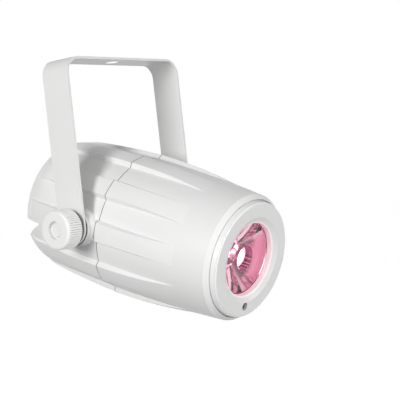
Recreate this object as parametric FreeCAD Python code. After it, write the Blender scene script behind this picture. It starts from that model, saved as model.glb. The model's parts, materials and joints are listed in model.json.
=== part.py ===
"""LED pin spotlight: ribbed round head in a bent steel yoke, clamped by two fluted knobs.

Millimetres. The frame's origin is the centre of the yoke's hanging hole, on the top face of
the bar, with +Z up, +X the way the beam points and +Y to the light's left. The head is
modelled in its own frame (X along the beam, origin on the tilt axis) and then pitched down.
"""
import FreeCAD, Part
import math
import os

V = FreeCAD.Vector
X_AXIS = V(1, 0, 0)
Y_AXIS = V(0, 1, 0)
Z_AXIS = V(0, 0, 1)
ORIGIN = V(0, 0, 0)
FULL_TURN = 360.0
QUARTER_TURN = 90.0

# Clearances and overrun
overrun = 1.0
seat_clearance = 0.1
moving_clearance = 0.3
running_clearance = 0.05

# Pose of the head
head_pitch_degrees = 18.0

# Barrel of the head, along the beam from the tilt axis
seam_station = 16.0
seam_gap = 0.5
barrel_front_length = 105.0
barrel_rear_length = 86.0
shoulder_length = 15.0
wall = 2.3
valley_radius = 57.2
valley_front_drop = 5.7
valley_front_bulge = 1.3
valley_shoulder_drop = 1.4
rim_drop = 4.7
shoulder_bulge = 0.6

# Raised ribs round the barrel
rib_count = 10
rib_height = 3.7
rib_front_length = 82.0
rib_front_bulge = 1.7
rib_front_dip = 0.5
rib_shoulder_height = 1.4
rib_rear_bulge = 0.7
rib_end_dip = 1.2
rib_top_half_degrees = 7.3
rib_foot_half_degrees = 9.6
rib_root_share = 0.85

# Collar and face plate at the front
collar_length = 3.6
collar_width = 3.1
face_plate_proud = 4.8
face_wall_taper = 1.9
face_edge_round = 0.9
face_edge_bulge = 0.27
face_foot_gap = 0.2
plate_thickness = 2.4
flange_thickness = 2.2
flange_overlap = 0.9
dish_radius = 35.0
dish_depth = 2.6
aperture_radius = 29.8
sensor_hole_radius = 3.2
sensor_hole_drop = 38.2

# Joint between the two shells
lip_length = 6.0
lip_thickness = 2.2
pillar_radius = 4.0
pillar_web_height = 7.7
pillar_rear_length = 40.0
pillar_front_length = 20.0
pillar_angles = (45.0, 135.0, 225.0, 315.0)
shell_screw_radius = 1.7
shell_screw_head_radius = 2.8
shell_screw_head_length = 2.4
shell_screw_seat_depth = 18.0
shell_screw_reach = 14.0
driver_bore_radius = 3.1

# Optics
lens_face_depth = 4.3
lens_flange_radius = 31.6
lens_flange_thickness = 2.6
lens_cone_radius = 29.2
lens_cone_length = 30.0
lens_tail_radius = 9.5
lens_well_radius = 10.2
lens_well_depth = 7.0
lens_dome_radius = 8.0
lens_dome_height = 2.4
lens_cavity_radius = 5.2
lens_cavity_depth = 7.0
holder_wall = 1.6
holder_rim_gap = 0.4
led_board_radius = 17.0
led_board_thickness = 1.6
led_notch_count = 4
led_notch_radius = 1.6
led_body_side = 7.0
led_body_height = 1.0
led_dome_radius = 2.8
seal_thickness = 1.0

# Heat sink
sink_edge_gap = 6.4
sink_plate_thickness = 5.0
sink_fin_length = 38.0
sink_fin_thickness = 1.8
sink_fin_pitch = 7.0
sink_fin_inset = 6.0
sink_ledge_thickness = 3.0
sink_ledge_overlap = 3.0

# Rear recess and panel
recess_depth = 18.0
rim_wall = 2.7
panel_gap = 0.3
panel_thickness = 2.5
ledge_thickness = 3.0
ledge_width = 6.3
notch_depth = 17.0
notch_top_degrees = -12.0
notch_rim_width = 15.5
notch_floor_width = 1.6
panel_screw_inset = 3.5
panel_screw_radius = 1.3
panel_screw_head_radius = 2.2
panel_screw_head_height = 1.4
panel_screw_reach = 2.4
panel_screw_count = 4

# Display and menu buttons
display_width = 36.0
display_height = 14.0
display_level = 33.0
window_thickness = 1.6
window_bezel = 1.4
module_depth = 4.6
button_count = 4
button_radius = 3.4
button_spacing = 15.0
button_level = 18.5
button_proud = 1.8
button_flange_radius = 4.4
button_flange_thickness = 0.9
button_stem_radius = 1.6
button_travel = 1.0
switch_side = 6.0
switch_height = 1.9
control_board_width = 66.0
control_board_bottom = 13.5
control_board_top = 39.0
control_board_thickness = 1.6
board_post_radius = 2.2
board_post_inset = 3.2
board_corner_width = 7
board_corner_height = 10.5

# Sockets
data_flange_width = 26.0
data_flange_height = 31.0
data_flange_thickness = 1.8
data_flange_corner = 3.0
data_barrel_radius = 11.4
data_barrel_length = 17.0
data_cavity_radius = 9.2
data_cavity_depth = 13.0
data_pin_radius = 1.2
data_pin_length = 7.0
data_pin_ring_radius = 4.2
data_hole_depth = 8.0
data_half_spacing = 16.0
data_level = -2.0
latch_width = 6.0
latch_height = 3.0
latch_proud = 1.2
inlet_flange_width = 31.0
inlet_flange_height = 24.4
inlet_flange_thickness = 1.8
inlet_body_width = 27.0
inlet_body_height = 20.0
inlet_body_length = 20.0
inlet_mouth_width = 24.0
inlet_mouth_height = 16.6
inlet_corner_cut = 4.0
inlet_mouth_depth = 15.0
inlet_pin_width = 2.0
inlet_pin_height = 4.0
inlet_pin_length = 8.0
inlet_pin_spacing = 7.0
inlet_earth_rise = 3.6
inlet_level = -30.6
fuse_side = 27.0
fuse_level = -25.5
fuse_body_radius = 5.4
fuse_body_length = 22.0
fuse_flange_radius = 7.2
fuse_flange_thickness = 1.2
fuse_cap_radius = 5.8
fuse_cap_height = 4.4
fuse_plug_radius = 3.6
fuse_plug_length = 8.0
fuse_slot_width = 1.4
fuse_slot_depth = 1.2

# Power supply
supply_board_length = 50.0
supply_edge_gap = 6.4
supply_board_thickness = 1.6
supply_board_level = -24.0
supply_rear_gap = 6.0
supply_rail_length = 24.0
supply_rail_height = 5.0
supply_rail_grip = 2.5
transformer_length = 22.0
transformer_width = 26.0
transformer_height = 18.0
capacitor_radius = 7.0
capacitor_height = 22.0
capacitor_inset = 17.0
coil_radius = 8.0
coil_height = 10.0

# Sensor board behind the face plate
sensor_board_width = 12.0
sensor_board_height = 9.0
sensor_board_thickness = 1.4
sensor_dome_radius = 2.5
sensor_body_depth = 4.0
sensor_dome_inset = 1.0
sensor_boss_wall = 1.2

# Yoke, bent from flat bar
strip_width = 28.0
strip_thickness = 2.0
side_gap = 7.1
pivot_drop = 137.0
bend_outer_radius = 14.0
hanging_hole_radius = 5.25

# Pivot: boss, insert, stud, washers and knob
boss_radius = 13.0
boss_root_radius = 15.0
friction_washer_thickness = 1.2
friction_washer_radius = 12.5
insert_radius = 6.0
insert_length = 13.0
stud_radius = 4.0
stud_hole_clearance = 0.2
stud_engagement = 11.0
stud_head_radius = 6.5
stud_head_thickness = 2.4
stud_head_depth = 7.2
clamp_washer_radius = 10.5
clamp_washer_thickness = 1.2
knob_radius = 16.0
knob_length = 15.4
knob_flutes = 52
knob_flute_depth = 0.7
knob_flute_degrees = 2.6
knob_face_round = 2.2
knob_back_round = 0.6
knob_hub_radius = 8.6
knob_hub_length = 2.6
knob_recess_radius = 7.2
knob_recess_depth = 3.4
knob_cap_radius = 6.0
knob_cap_thickness = 1.8
knob_cap_bevel = 0.6
knob_cap_dimple_radius = 3.0
knob_cap_dimple_depth = 0.5

# Stations worked out from the sizes above
rim_station = seam_station - barrel_rear_length
shoulder_station = rim_station + shoulder_length
ring_station = seam_station + barrel_front_length
collar_station = ring_station + collar_length
face_station = collar_station + face_plate_proud
rib_radius = valley_radius + rib_height
valley_front_radius = valley_radius - valley_front_drop
valley_shoulder_radius = valley_radius - valley_shoulder_drop
rim_radius = valley_radius - rim_drop
recess_radius = rim_radius - rim_wall
ledge_radius = recess_radius - ledge_width
panel_screw_ring_radius = recess_radius - panel_screw_inset
pillar_ring_radius = valley_radius - wall - pillar_web_height
collar_inner_radius = valley_front_radius - collar_width
face_foot_radius = collar_inner_radius - face_foot_gap
face_radius = face_foot_radius - face_wall_taper
panel_station = rim_station + recess_depth
panel_front = panel_station + panel_thickness
panel_radius = recess_radius - panel_gap
lens_face_station = face_station - dish_depth - lens_face_depth
flange_front = lens_face_station - seal_thickness
flange_back = flange_front - lens_flange_thickness
lens_back = flange_back - lens_cone_length
led_board_front = lens_back - moving_clearance
sink_front = led_board_front - led_board_thickness
plate_back = face_station - plate_thickness
sensor_board_front = plate_back - sensor_body_depth
supply_board_rear = panel_station + fuse_body_length + supply_rear_gap
supply_board_half_width = math.sqrt((valley_radius - wall) ** 2 - supply_board_level ** 2) - supply_edge_gap
yoke_inner_half = rib_radius + side_gap
yoke_outer_half = yoke_inner_half + strip_thickness
boss_face = yoke_inner_half - friction_washer_thickness
clamp_washer_face = yoke_outer_half + clamp_washer_thickness
knob_back = clamp_washer_face + knob_hub_length
knob_face = knob_back + knob_length


def line(start, end):
    return Part.LineSegment(start, end).toShape()


def arc(start, end, bulge):
    """Arc from start to end whose middle stands out by bulge, to the left of the way it runs."""
    chord = end - start
    middle = (start + end) * 0.5
    side = V(-chord.y, chord.x, 0).normalize()
    return Part.Arc(start, middle + side * bulge, end).toShape()


def revolve(edges, axis=X_AXIS):
    """Solid of revolution of a closed outline drawn in the XY plane."""
    face = Part.Face(Part.Wire(edges))
    return face.revolve(ORIGIN, axis, FULL_TURN)


def turned(points):
    """Body of revolution about X from corners given as (station, radius)."""
    corners = [V(station, radius, 0) for station, radius in points]
    return revolve([line(a, b) for a, b in zip(corners, corners[1:] + corners[:1])])


def rod(radius, length, start, axis=X_AXIS):
    return Part.makeCylinder(radius, length, start, axis)


def half_ball(radius, centre):
    """Half sphere that bulges forward along the beam."""
    return Part.makeSphere(radius, centre, X_AXIS, 0, QUARTER_TURN, FULL_TURN)


def block(size_x, size_y, size_z, centre):
    corner = centre - V(size_x, size_y, size_z) * 0.5
    return Part.makeBox(size_x, size_y, size_z, corner)


def prism(points, thickness, start):
    """Plate along X from corners given as (y, z), its rear face at station start."""
    wire = Part.makePolygon([V(start, y, z) for y, z in points + points[:1]])
    return Part.Face(wire).extrude(V(thickness, 0, 0))


def fuse_all(shapes):
    body = shapes[0].multiFuse(shapes[1:]) if len(shapes) > 1 else shapes[0]
    return body.removeSplitter()


def polar(shape, angle):
    """Copy of a shape turned about the beam axis."""
    copy = shape.copy()
    copy.rotate(ORIGIN, X_AXIS, angle)
    return copy


def mirrored(shape):
    """The same piece for the other side of the light."""
    return shape.mirror(ORIGIN, Y_AXIS)


# Outlines of the barrel

def valley_front_arc():
    return arc(V(ring_station, valley_front_radius, 0), V(seam_station, valley_radius, 0), -valley_front_bulge)


def rear_outline(offset):
    """Rear half of the valley surface, moved inwards by offset, from the seam to the rim."""
    seam = V(seam_station, valley_radius - offset, 0)
    shoulder = V(shoulder_station, valley_shoulder_radius - offset, 0)
    rim = V(rim_station, rim_radius - offset, 0)
    return [line(seam, shoulder), arc(shoulder, rim, -shoulder_bulge)]


def rib_wedges(near, far, far_scale):
    """Ten tapered wedges with sloping sides, between two stations."""
    foot = math.radians(rib_foot_half_degrees)
    top = math.radians(rib_top_half_degrees)
    foot_corner = (valley_radius * math.sin(foot), valley_radius * math.cos(foot))
    top_corner = (rib_radius * math.sin(top), rib_radius * math.cos(top))
    slope = (foot_corner[0] - top_corner[0]) / (top_corner[1] - foot_corner[1])

    def half_width(height):
        return foot_corner[0] - (height - foot_corner[1]) * slope

    root = valley_radius * rib_root_share
    crown = rib_radius + rib_height
    sections = []
    for station, scale in ((near, 1.0), (far, far_scale)):
        corners = [(-half_width(root), root), (half_width(root), root),
                   (half_width(crown), crown), (-half_width(crown), crown)]
        points = [V(station, y * scale, z * scale) for y, z in corners]
        sections.append(Part.makePolygon(points + points[:1]))
    wedge = Part.makeLoft(sections, True, True)
    wedge.rotate(ORIGIN, X_AXIS, QUARTER_TURN)
    return [polar(wedge, FULL_TURN * index / rib_count) for index in range(rib_count)]


def front_ribs():
    end_station = seam_station + rib_front_length
    chord_share = rib_front_length / barrel_front_length
    bulge_share = 4.0 * chord_share * (1.0 - chord_share)
    end_radius = (valley_radius + (valley_front_radius - valley_radius) * chord_share
                  + valley_front_bulge * bulge_share - rib_front_dip)
    start = V(seam_station, rib_radius, 0)
    end = V(end_station, end_radius, 0)
    crown = revolve([line(V(seam_station, 0, 0), start), arc(start, end, rib_front_bulge),
                     line(end, V(end_station, 0, 0)), line(V(end_station, 0, 0), V(seam_station, 0, 0))])
    far_scale = valley_front_radius / valley_radius
    wedges = rib_wedges(seam_station - overrun, ring_station, far_scale)
    return [crown.common(wedge) for wedge in wedges]


def rear_ribs():
    start = V(seam_station, rib_radius, 0)
    shoulder = V(shoulder_station, valley_shoulder_radius + rib_shoulder_height, 0)
    end = V(rim_station, rim_radius - rib_end_dip, 0)
    crown = revolve([line(V(seam_station, 0, 0), start), arc(start, shoulder, -rib_rear_bulge),
                     arc(shoulder, end, -shoulder_bulge * 2.0),
                     line(end, V(rim_station, 0, 0)), line(V(rim_station, 0, 0), V(seam_station, 0, 0))])
    far_scale = rim_radius / valley_radius
    wedges = rib_wedges(seam_station + overrun, rim_station - overrun, far_scale)
    return [crown.common(wedge) for wedge in wedges]


# Shells

def pillar(start, end, angle):
    """Screw pillar on the inside of a shell, with the web that ties it to the wall."""
    length = end - start
    post = rod(pillar_radius, length, V(start, pillar_ring_radius, 0))
    web_height = valley_radius - wall - pillar_ring_radius
    web = block(length, web_height, pillar_radius, V((start + end) * 0.5, pillar_ring_radius + web_height * 0.5, 0))
    return polar(post.fuse(web), angle)


def notch(side):
    """Cable notch in the rear rim: one edge along the beam, the other slanting to the rim."""
    angle = math.radians(notch_top_degrees)
    top = rim_radius * math.sin(angle)
    rear = rim_station - overrun
    floor = rim_station + notch_depth
    points = [V(rear, 0, top), V(floor, 0, top), V(floor, 0, top - notch_floor_width), V(rear, 0, top - notch_rim_width)]
    face = Part.Face(Part.makePolygon(points + points[:1]))
    reach = V(0, side * (rib_radius + overrun), 0)
    return face.extrude(reach)


def rear_shell():
    inner_rim = V(rim_station, 0, 0)
    outline = [line(V(seam_station, 0, 0), V(seam_station, valley_radius, 0))] + rear_outline(0.0)
    outline += [line(V(rim_station, rim_radius, 0), inner_rim), line(inner_rim, V(seam_station, 0, 0))]
    body = fuse_all([revolve(outline)] + rear_ribs())
    body = body.cut(turned([(seam_station - seam_gap * 0.5, 0), (seam_station + overrun, 0),
                            (seam_station + overrun, rib_radius + overrun),
                            (seam_station - seam_gap * 0.5, rib_radius + overrun)]))
    ledge_front = panel_front + ledge_thickness
    hollow = turned([(ledge_front, 0), (ledge_front, valley_shoulder_radius - wall),
                     (seam_station - lip_length, valley_radius - wall), (seam_station + overrun, valley_radius - wall),
                     (seam_station + overrun, 0)])
    body = body.cut(hollow)
    body = body.cut(turned([(rim_station - overrun, 0), (rim_station - overrun, recess_radius),
                            (panel_front, recess_radius), (panel_front, ledge_radius),
                            (ledge_front + overrun, ledge_radius), (ledge_front + overrun, 0)]))
    body = body.cut(notch(-1)).cut(notch(1))
    pieces = [body]
    pillar_end = seam_station - seam_gap * 0.5
    for angle in pillar_angles:
        pieces.append(pillar(seam_station - pillar_rear_length, pillar_end, angle))
    for side in (-1, 1):
        pieces.append(pivot_boss(side))
        pieces.append(supply_rail(side))
    body = fuse_all(pieces)
    for angle in pillar_angles:
        seat = seam_station - shell_screw_seat_depth
        bore = rod(driver_bore_radius, seat - ledge_front, V(ledge_front, pillar_ring_radius, 0))
        shank = rod(shell_screw_radius + seat_clearance, shell_screw_seat_depth + overrun,
                    V(seat, pillar_ring_radius, 0))
        body = body.cut(polar(bore.fuse(shank), angle))
    for angle in panel_screw_angles():
        hole = rod(panel_screw_radius + seat_clearance, ledge_thickness + overrun * 2.0,
                   V(panel_front - overrun, panel_screw_ring_radius, 0))
        body = body.cut(polar(hole, angle))
    for side in (-1, 1):
        body = body.cut(rod(insert_radius, boss_face + overrun, ORIGIN, V(0, side, 0)))
    return body


def pivot_boss(side):
    """Round boss on the rib at the tilt axis, wider at its foot."""
    inner = valley_radius - wall * 2.0
    foot = rib_radius
    points = [V(0, inner, 0), V(boss_root_radius, inner, 0), V(boss_root_radius, foot, 0),
              V(boss_radius, foot + (boss_root_radius - boss_radius), 0), V(boss_radius, boss_face, 0),
              V(0, boss_face, 0)]
    boss = revolve([line(a, b) for a, b in zip(points, points[1:] + points[:1])], Y_AXIS)
    return boss if side > 0 else mirrored(boss)


def supply_rail(side):
    """Grooved rail on the shell's wall that holds one edge of the power board."""
    height = supply_rail_height
    level = supply_board_level + supply_board_thickness * 0.5
    wall_side = math.sqrt((valley_radius - wall * 0.5) ** 2 - (abs(level) + height * 0.5) ** 2)
    inner_side = supply_board_half_width - supply_rail_grip
    centre = V(supply_board_rear + supply_rail_length * 0.5, side * (wall_side + inner_side) * 0.5, level)
    rail = block(supply_rail_length, wall_side - inner_side, height, centre)
    slot_half_width = supply_board_half_width + seat_clearance
    slot = block(supply_rail_length + overrun * 2.0, slot_half_width * 2.0,
                 supply_board_thickness + seat_clearance, V(centre.x, 0, level))
    return rail.cut(slot)


def front_shell():
    collar_edge = V(collar_station, collar_inner_radius, 0)
    ring_edge = V(ring_station, valley_front_radius, 0)
    outline = [line(V(collar_station, 0, 0), collar_edge), line(collar_edge, ring_edge), valley_front_arc(),
               line(V(seam_station, valley_radius, 0), V(seam_station, 0, 0)),
               line(V(seam_station, 0, 0), V(collar_station, 0, 0))]
    body = fuse_all([revolve(outline)] + front_ribs())
    body = body.cut(turned([(seam_station - overrun, 0), (seam_station + seam_gap * 0.5, 0),
                            (seam_station + seam_gap * 0.5, rib_radius + overrun),
                            (seam_station - overrun, rib_radius + overrun)]))
    flange_seat = collar_station - collar_length - face_foot_gap * 2.0
    front_inner = valley_front_radius - wall
    ledge_front = sink_front + sink_ledge_thickness
    ledge_wall = inner_radius_at(ledge_front)
    sink_wall = inner_radius_at(sink_front)
    ledge_inner = sink_plate_radius() - sink_ledge_overlap
    hollow = turned([(seam_station - overrun, 0), (seam_station - overrun, valley_radius - wall),
                     (seam_station + seam_gap, valley_radius - wall),
                     (sink_front, sink_wall), (sink_front, ledge_inner),
                     (ledge_front, ledge_inner), (ledge_front, ledge_wall),
                     (flange_seat, front_inner), (flange_seat, face_foot_radius),
                     (collar_station + overrun, face_foot_radius), (collar_station + overrun, 0)])
    body = body.cut(hollow)
    lip_outer = valley_radius - wall - seat_clearance
    lip = turned([(seam_station - lip_length, lip_outer - lip_thickness), (seam_station - lip_length, lip_outer),
                  (seam_station + seam_gap, lip_outer), (seam_station + seam_gap, valley_radius - wall * 0.5),
                  (seam_station + lip_length, valley_radius - wall * 0.5),
                  (seam_station + lip_length, lip_outer - lip_thickness)])
    pieces = [body, lip]
    pillar_start = seam_station - seam_gap * 0.5
    for angle in pillar_angles:
        pieces.append(pillar(pillar_start, seam_station + pillar_front_length, angle))
    body = fuse_all(pieces)
    for angle in pillar_angles:
        pilot = rod(shell_screw_radius, shell_screw_reach + overrun * 2.0,
                    V(seam_station - overrun, pillar_ring_radius, 0))
        relief = rod(pillar_radius + seat_clearance, lip_length + overrun,
                     V(pillar_start - lip_length - overrun, pillar_ring_radius, 0))
        web = block(lip_length + overrun, valley_radius - pillar_ring_radius, pillar_radius + seat_clearance * 2.0,
                    V(pillar_start - (lip_length + overrun) * 0.5, (valley_radius + pillar_ring_radius) * 0.5, 0))
        body = body.cut(polar(pilot.fuse(relief).fuse(web), angle))
    for side in (-1, 1):
        body = body.cut(rod(boss_root_radius + moving_clearance, yoke_inner_half, ORIGIN, V(0, side, 0)))
    return body


def inner_radius_at(station):
    """Inside radius of the front shell at a station, following the valley surface."""
    share = (station - seam_station) / barrel_front_length
    chord = valley_radius - valley_front_drop * share
    return chord - wall


def sink_plate_radius():
    return inner_radius_at(sink_front) - sink_edge_gap


def face_plate():
    """Front plate: wall, flat ring, dished middle, aperture, and the sensor's hole."""
    foot = face_foot_radius - seat_clearance
    rim_front = collar_station - collar_length - face_foot_gap * 2.0
    rim_back = rim_front - flange_thickness
    aperture_station = face_station - dish_depth
    seat_radius = lens_flange_radius + seat_clearance
    socket_radius = seat_radius + holder_wall
    edge_start = V(face_station - face_edge_round, face_radius + face_edge_bulge, 0)
    edge_end = V(face_station, face_radius - face_edge_round, 0)
    corners = [edge_end, V(face_station, dish_radius, 0), V(aperture_station, aperture_radius, 0),
               V(lens_face_station, aperture_radius - seat_clearance, 0), V(lens_face_station, seat_radius, 0),
               V(flange_back, seat_radius, 0), V(flange_back, socket_radius, 0),
               V(plate_back - dish_depth, socket_radius, 0), V(plate_back, dish_radius + plate_thickness, 0),
               V(plate_back, face_radius - plate_thickness, 0), V(rim_back, foot - plate_thickness, 0),
               V(rim_back, foot + flange_overlap, 0), V(rim_front, foot + flange_overlap, 0),
               V(rim_front, foot, 0), edge_start]
    edges = [line(a, b) for a, b in zip(corners, corners[1:])]
    edges.append(arc(edge_start, edge_end, -face_edge_bulge))
    plate = revolve(edges)
    boss = rod(sensor_hole_radius + sensor_boss_wall, sensor_body_depth + overrun,
               V(sensor_board_front, 0, -sensor_hole_drop))
    hole = rod(sensor_hole_radius, face_station - sensor_board_front + overrun * 2.0,
               V(sensor_board_front - overrun, 0, -sensor_hole_drop))
    return fuse_all([plate, boss]).cut(hole)


# Optics and heat sink

def lens():
    """Clear cone with a wide front face, a central well with a dome in it, and a rear cavity."""
    well_floor = lens_face_station - lens_well_depth
    dome_edge = V(well_floor, lens_dome_radius, 0)
    dome_top = V(well_floor + lens_dome_height, 0, 0)
    sphere = (lens_dome_radius ** 2 + lens_dome_height ** 2) / (2.0 * lens_dome_height)
    half_turn = math.atan2(lens_dome_radius, sphere - lens_dome_height) * 0.5
    dome_middle = V(dome_top.x - sphere + sphere * math.cos(half_turn), sphere * math.sin(half_turn), 0)
    cavity_floor = lens_back + lens_cavity_depth
    corners = [dome_edge, V(well_floor, lens_well_radius, 0), V(lens_face_station, lens_well_radius, 0),
               V(lens_face_station, lens_cone_radius, 0), V(flange_front, lens_cone_radius, 0),
               V(flange_front, lens_flange_radius, 0), V(flange_back, lens_flange_radius, 0),
               V(flange_back, lens_cone_radius, 0), V(lens_back, lens_tail_radius, 0),
               V(lens_back, lens_cavity_radius, 0), V(cavity_floor, lens_cavity_radius, 0),
               V(cavity_floor, 0, 0), dome_top]
    edges = [line(a, b) for a, b in zip(corners, corners[1:])]
    edges.append(Part.Arc(dome_top, dome_middle, dome_edge).toShape())
    return revolve(edges)


def lens_holder():
    """Cone-shaped cup between the LED board and the lens's flange."""
    gap = holder_rim_gap
    return turned([(led_board_front, lens_tail_radius + gap), (lens_back, lens_tail_radius + gap),
                   (flange_back, lens_cone_radius + gap), (flange_back, lens_flange_radius),
                   (flange_back - holder_wall, lens_flange_radius),
                   (led_board_front + holder_wall, led_board_radius), (led_board_front, led_board_radius)])


def lens_seal():
    """Soft ring between the lens's flange and the face plate."""
    inner = lens_cone_radius + holder_rim_gap
    ring = rod(lens_flange_radius, seal_thickness, V(flange_front, 0, 0))
    return ring.cut(rod(inner, seal_thickness, V(flange_front, 0, 0)))


def led_board():
    """Round board on the heat sink, with screw notches in its edge."""
    board = rod(led_board_radius, led_board_thickness, V(sink_front, 0, 0))
    for index in range(led_notch_count):
        notch_cut = rod(led_notch_radius, led_board_thickness + overrun * 2.0,
                        V(sink_front - overrun, led_board_radius, 0))
        board = board.cut(polar(notch_cut, FULL_TURN * index / led_notch_count))
    return board


def led_emitter():
    """White package with its clear dome, standing in the lens's rear cavity."""
    base = block(led_body_height, led_body_side, led_body_side, V(led_board_front + led_body_height * 0.5, 0, 0))
    dome = half_ball(led_dome_radius, V(led_board_front + led_body_height, 0, 0))
    return base.fuse(dome)


def heat_sink():
    plate_rear = sink_front - sink_plate_thickness
    plate = rod(sink_plate_radius(), sink_plate_thickness, V(plate_rear, 0, 0))
    sink_fin_radius = sink_plate_radius() - sink_fin_inset
    half_count = int(sink_fin_radius / sink_fin_pitch)
    fins = []
    for index in range(-half_count, half_count + 1):
        side = index * sink_fin_pitch
        reach = math.sqrt(sink_fin_radius ** 2 - side ** 2)
        fins.append(block(sink_fin_length + overrun, sink_fin_thickness, reach * 2.0,
                          V(plate_rear - (sink_fin_length - overrun) * 0.5, side, 0)))
    return fuse_all([plate] + fins)


def sensor_receiver():
    """Infrared receiver: small board on the face plate's boss, with its dome in the hole."""
    board = block(sensor_board_thickness, sensor_board_width, sensor_board_height,
                  V(sensor_board_front - sensor_board_thickness * 0.5, 0, -sensor_hole_drop))
    body_length = sensor_body_depth - sensor_dome_inset
    body = rod(sensor_dome_radius, body_length, V(sensor_board_front, 0, -sensor_hole_drop))
    dome = half_ball(sensor_dome_radius, V(sensor_board_front + body_length, 0, -sensor_hole_drop))
    return fuse_all([board, body, dome])


# Rear panel and what it carries

def panel_screw_angles():
    return [FULL_TURN * index / panel_screw_count for index in range(panel_screw_count)]


def button_places():
    first = -(button_count - 1) * button_spacing * 0.5
    return [(first + index * button_spacing, button_level) for index in range(button_count)]


def board_post_places():
    side = control_board_width * 0.5 - board_post_inset
    low = control_board_bottom + board_post_inset
    high = control_board_top - board_post_inset - (button_spacing * 0.5)
    return [(-side, low), (side, low), (-side, high), (side, high)]


def control_board_station():
    """Rear face of the control board, far enough for the buttons to travel."""
    return panel_front + button_flange_thickness + button_travel + moving_clearance + switch_height + module_depth * 0.5


def rear_panel():
    panel = rod(panel_radius, panel_thickness, V(panel_station, 0, 0))
    window = block(panel_thickness * 3.0, display_width + seat_clearance * 2.0, display_height + seat_clearance * 2.0,
                   V(panel_station, 0, display_level))
    inlet = block(panel_thickness * 3.0, inlet_body_width + seat_clearance * 2.0,
                  inlet_body_height + seat_clearance * 2.0, V(panel_station, 0, inlet_level))
    cuts = [window, inlet]
    start = panel_station - overrun
    depth = panel_thickness + overrun * 2.0
    for side in (-data_half_spacing, data_half_spacing):
        cuts.append(rod(data_barrel_radius + seat_clearance, depth, V(start, side, data_level)))
    for y, z in button_places():
        cuts.append(rod(button_radius + moving_clearance, depth, V(start, y, z)))
    cuts.append(rod(fuse_body_radius + seat_clearance, depth, V(start, fuse_side, fuse_level)))
    for angle in panel_screw_angles():
        cuts.append(polar(rod(panel_screw_radius + seat_clearance, depth, V(start, panel_screw_ring_radius, 0)), angle))
    for cut in cuts:
        panel = panel.cut(cut)
    posts = [rod(board_post_radius, control_board_station() - panel_front + overrun, V(panel_front - overrun, y, z))
             for y, z in board_post_places()]
    return fuse_all([panel] + posts)


def display_window():
    """Dark cover of the display, with a thin rim that lies on the panel."""
    pane = block(panel_thickness, display_width, display_height,
                 V(panel_station + panel_thickness * 0.5, 0, display_level))
    rim = block(window_thickness, display_width + window_bezel * 2.0, display_height + window_bezel * 2.0,
                V(panel_station - window_thickness * 0.5, 0, display_level))
    return fuse_all([pane, rim])


def display_module():
    depth = control_board_station() - panel_front
    return block(depth, display_width - window_bezel * 2.0, display_height - window_bezel,
                 V(panel_front + depth * 0.5, 0, display_level))


def control_board():
    half = control_board_width * 0.5
    across = board_corner_width
    shoulder = control_board_top - board_corner_height
    points = [(-half, control_board_bottom), (half, control_board_bottom), (half, shoulder),
              (half - across, control_board_top), (-half + across, control_board_top), (-half, shoulder)]
    return prism(points, control_board_thickness, control_board_station())


def button_switches():
    """Four small switches on the control board, one behind each button."""
    depth = control_board_station() - switch_rear()
    switches = [block(depth, switch_side, switch_side, V(switch_rear() + depth * 0.5, y, z))
                for y, z in button_places()]
    return Part.makeCompound(switches)


def switch_rear():
    return control_board_station() - switch_height


def button(place):
    """Round button, kept in the panel by a flange, with a stem towards its switch."""
    y, z = place
    cap = rod(button_radius, panel_thickness + button_proud, V(panel_station - button_proud, y, z))
    edge = [edge for edge in cap.Edges if abs(edge.CenterOfMass.x - (panel_station - button_proud)) < button_travel]
    cap = cap.makeFillet(button_flange_thickness * 0.5, [edge[0]])
    flange = rod(button_flange_radius, button_flange_thickness, V(panel_front, y, z))
    stem_end = switch_rear() - button_travel - moving_clearance
    stem = rod(button_stem_radius, stem_end - panel_front, V(panel_front, y, z))
    return fuse_all([cap, flange, stem])


def rounded_plate(width, height, thickness, corner, centre):
    plate = block(thickness, width, height, centre)
    edges = [edge for edge in plate.Edges if abs(edge.Vertexes[0].X - edge.Vertexes[-1].X) > thickness * 0.5]
    return plate.makeFillet(corner, edges)


def data_socket_body(side):
    flange = rounded_plate(data_flange_width, data_flange_height, data_flange_thickness, data_flange_corner,
                           V(panel_station - data_flange_thickness * 0.5, side, data_level))
    barrel = rod(data_barrel_radius, data_barrel_length, V(panel_station, side, data_level))
    return fuse_all([flange, barrel])


def pin_places(side):
    """Three contacts on a circle, at the sides and the bottom."""
    places = []
    for angle in (0.0, 180.0, 270.0):
        turn = math.radians(angle)
        places.append((side + data_pin_ring_radius * math.cos(turn), data_level + data_pin_ring_radius * math.sin(turn)))
    return places


def data_input():
    """Three-pole plug socket: a round cavity with three pins."""
    side = data_half_spacing
    mouth = panel_station - data_flange_thickness
    floor = mouth + data_cavity_depth
    body = data_socket_body(side)
    body = body.cut(rod(data_cavity_radius, data_cavity_depth + overrun, V(mouth - overrun, side, data_level)))
    pins = [rod(data_pin_radius, data_pin_length + overrun, V(floor - data_pin_length, y, z))
            for y, z in pin_places(side)]
    return fuse_all([body] + pins)


def data_output():
    """Three-hole socket with its latch tab above."""
    side = -data_half_spacing
    mouth = panel_station - data_flange_thickness
    body = data_socket_body(side)
    groove = rod(data_barrel_radius - latch_proud, data_hole_depth, V(mouth, side, data_level))
    groove = groove.cut(rod(data_cavity_radius - latch_proud, data_hole_depth, V(mouth, side, data_level)))
    body = body.cut(groove)
    for y, z in pin_places(side):
        body = body.cut(rod(data_pin_radius + seat_clearance, data_hole_depth + overrun, V(mouth - overrun, y, z)))
    latch = block(latch_proud * 2.0, latch_width, latch_height,
                  V(mouth, side, data_level + (data_barrel_radius + data_flange_height * 0.5) * 0.5))
    return fuse_all([body, latch])


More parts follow.
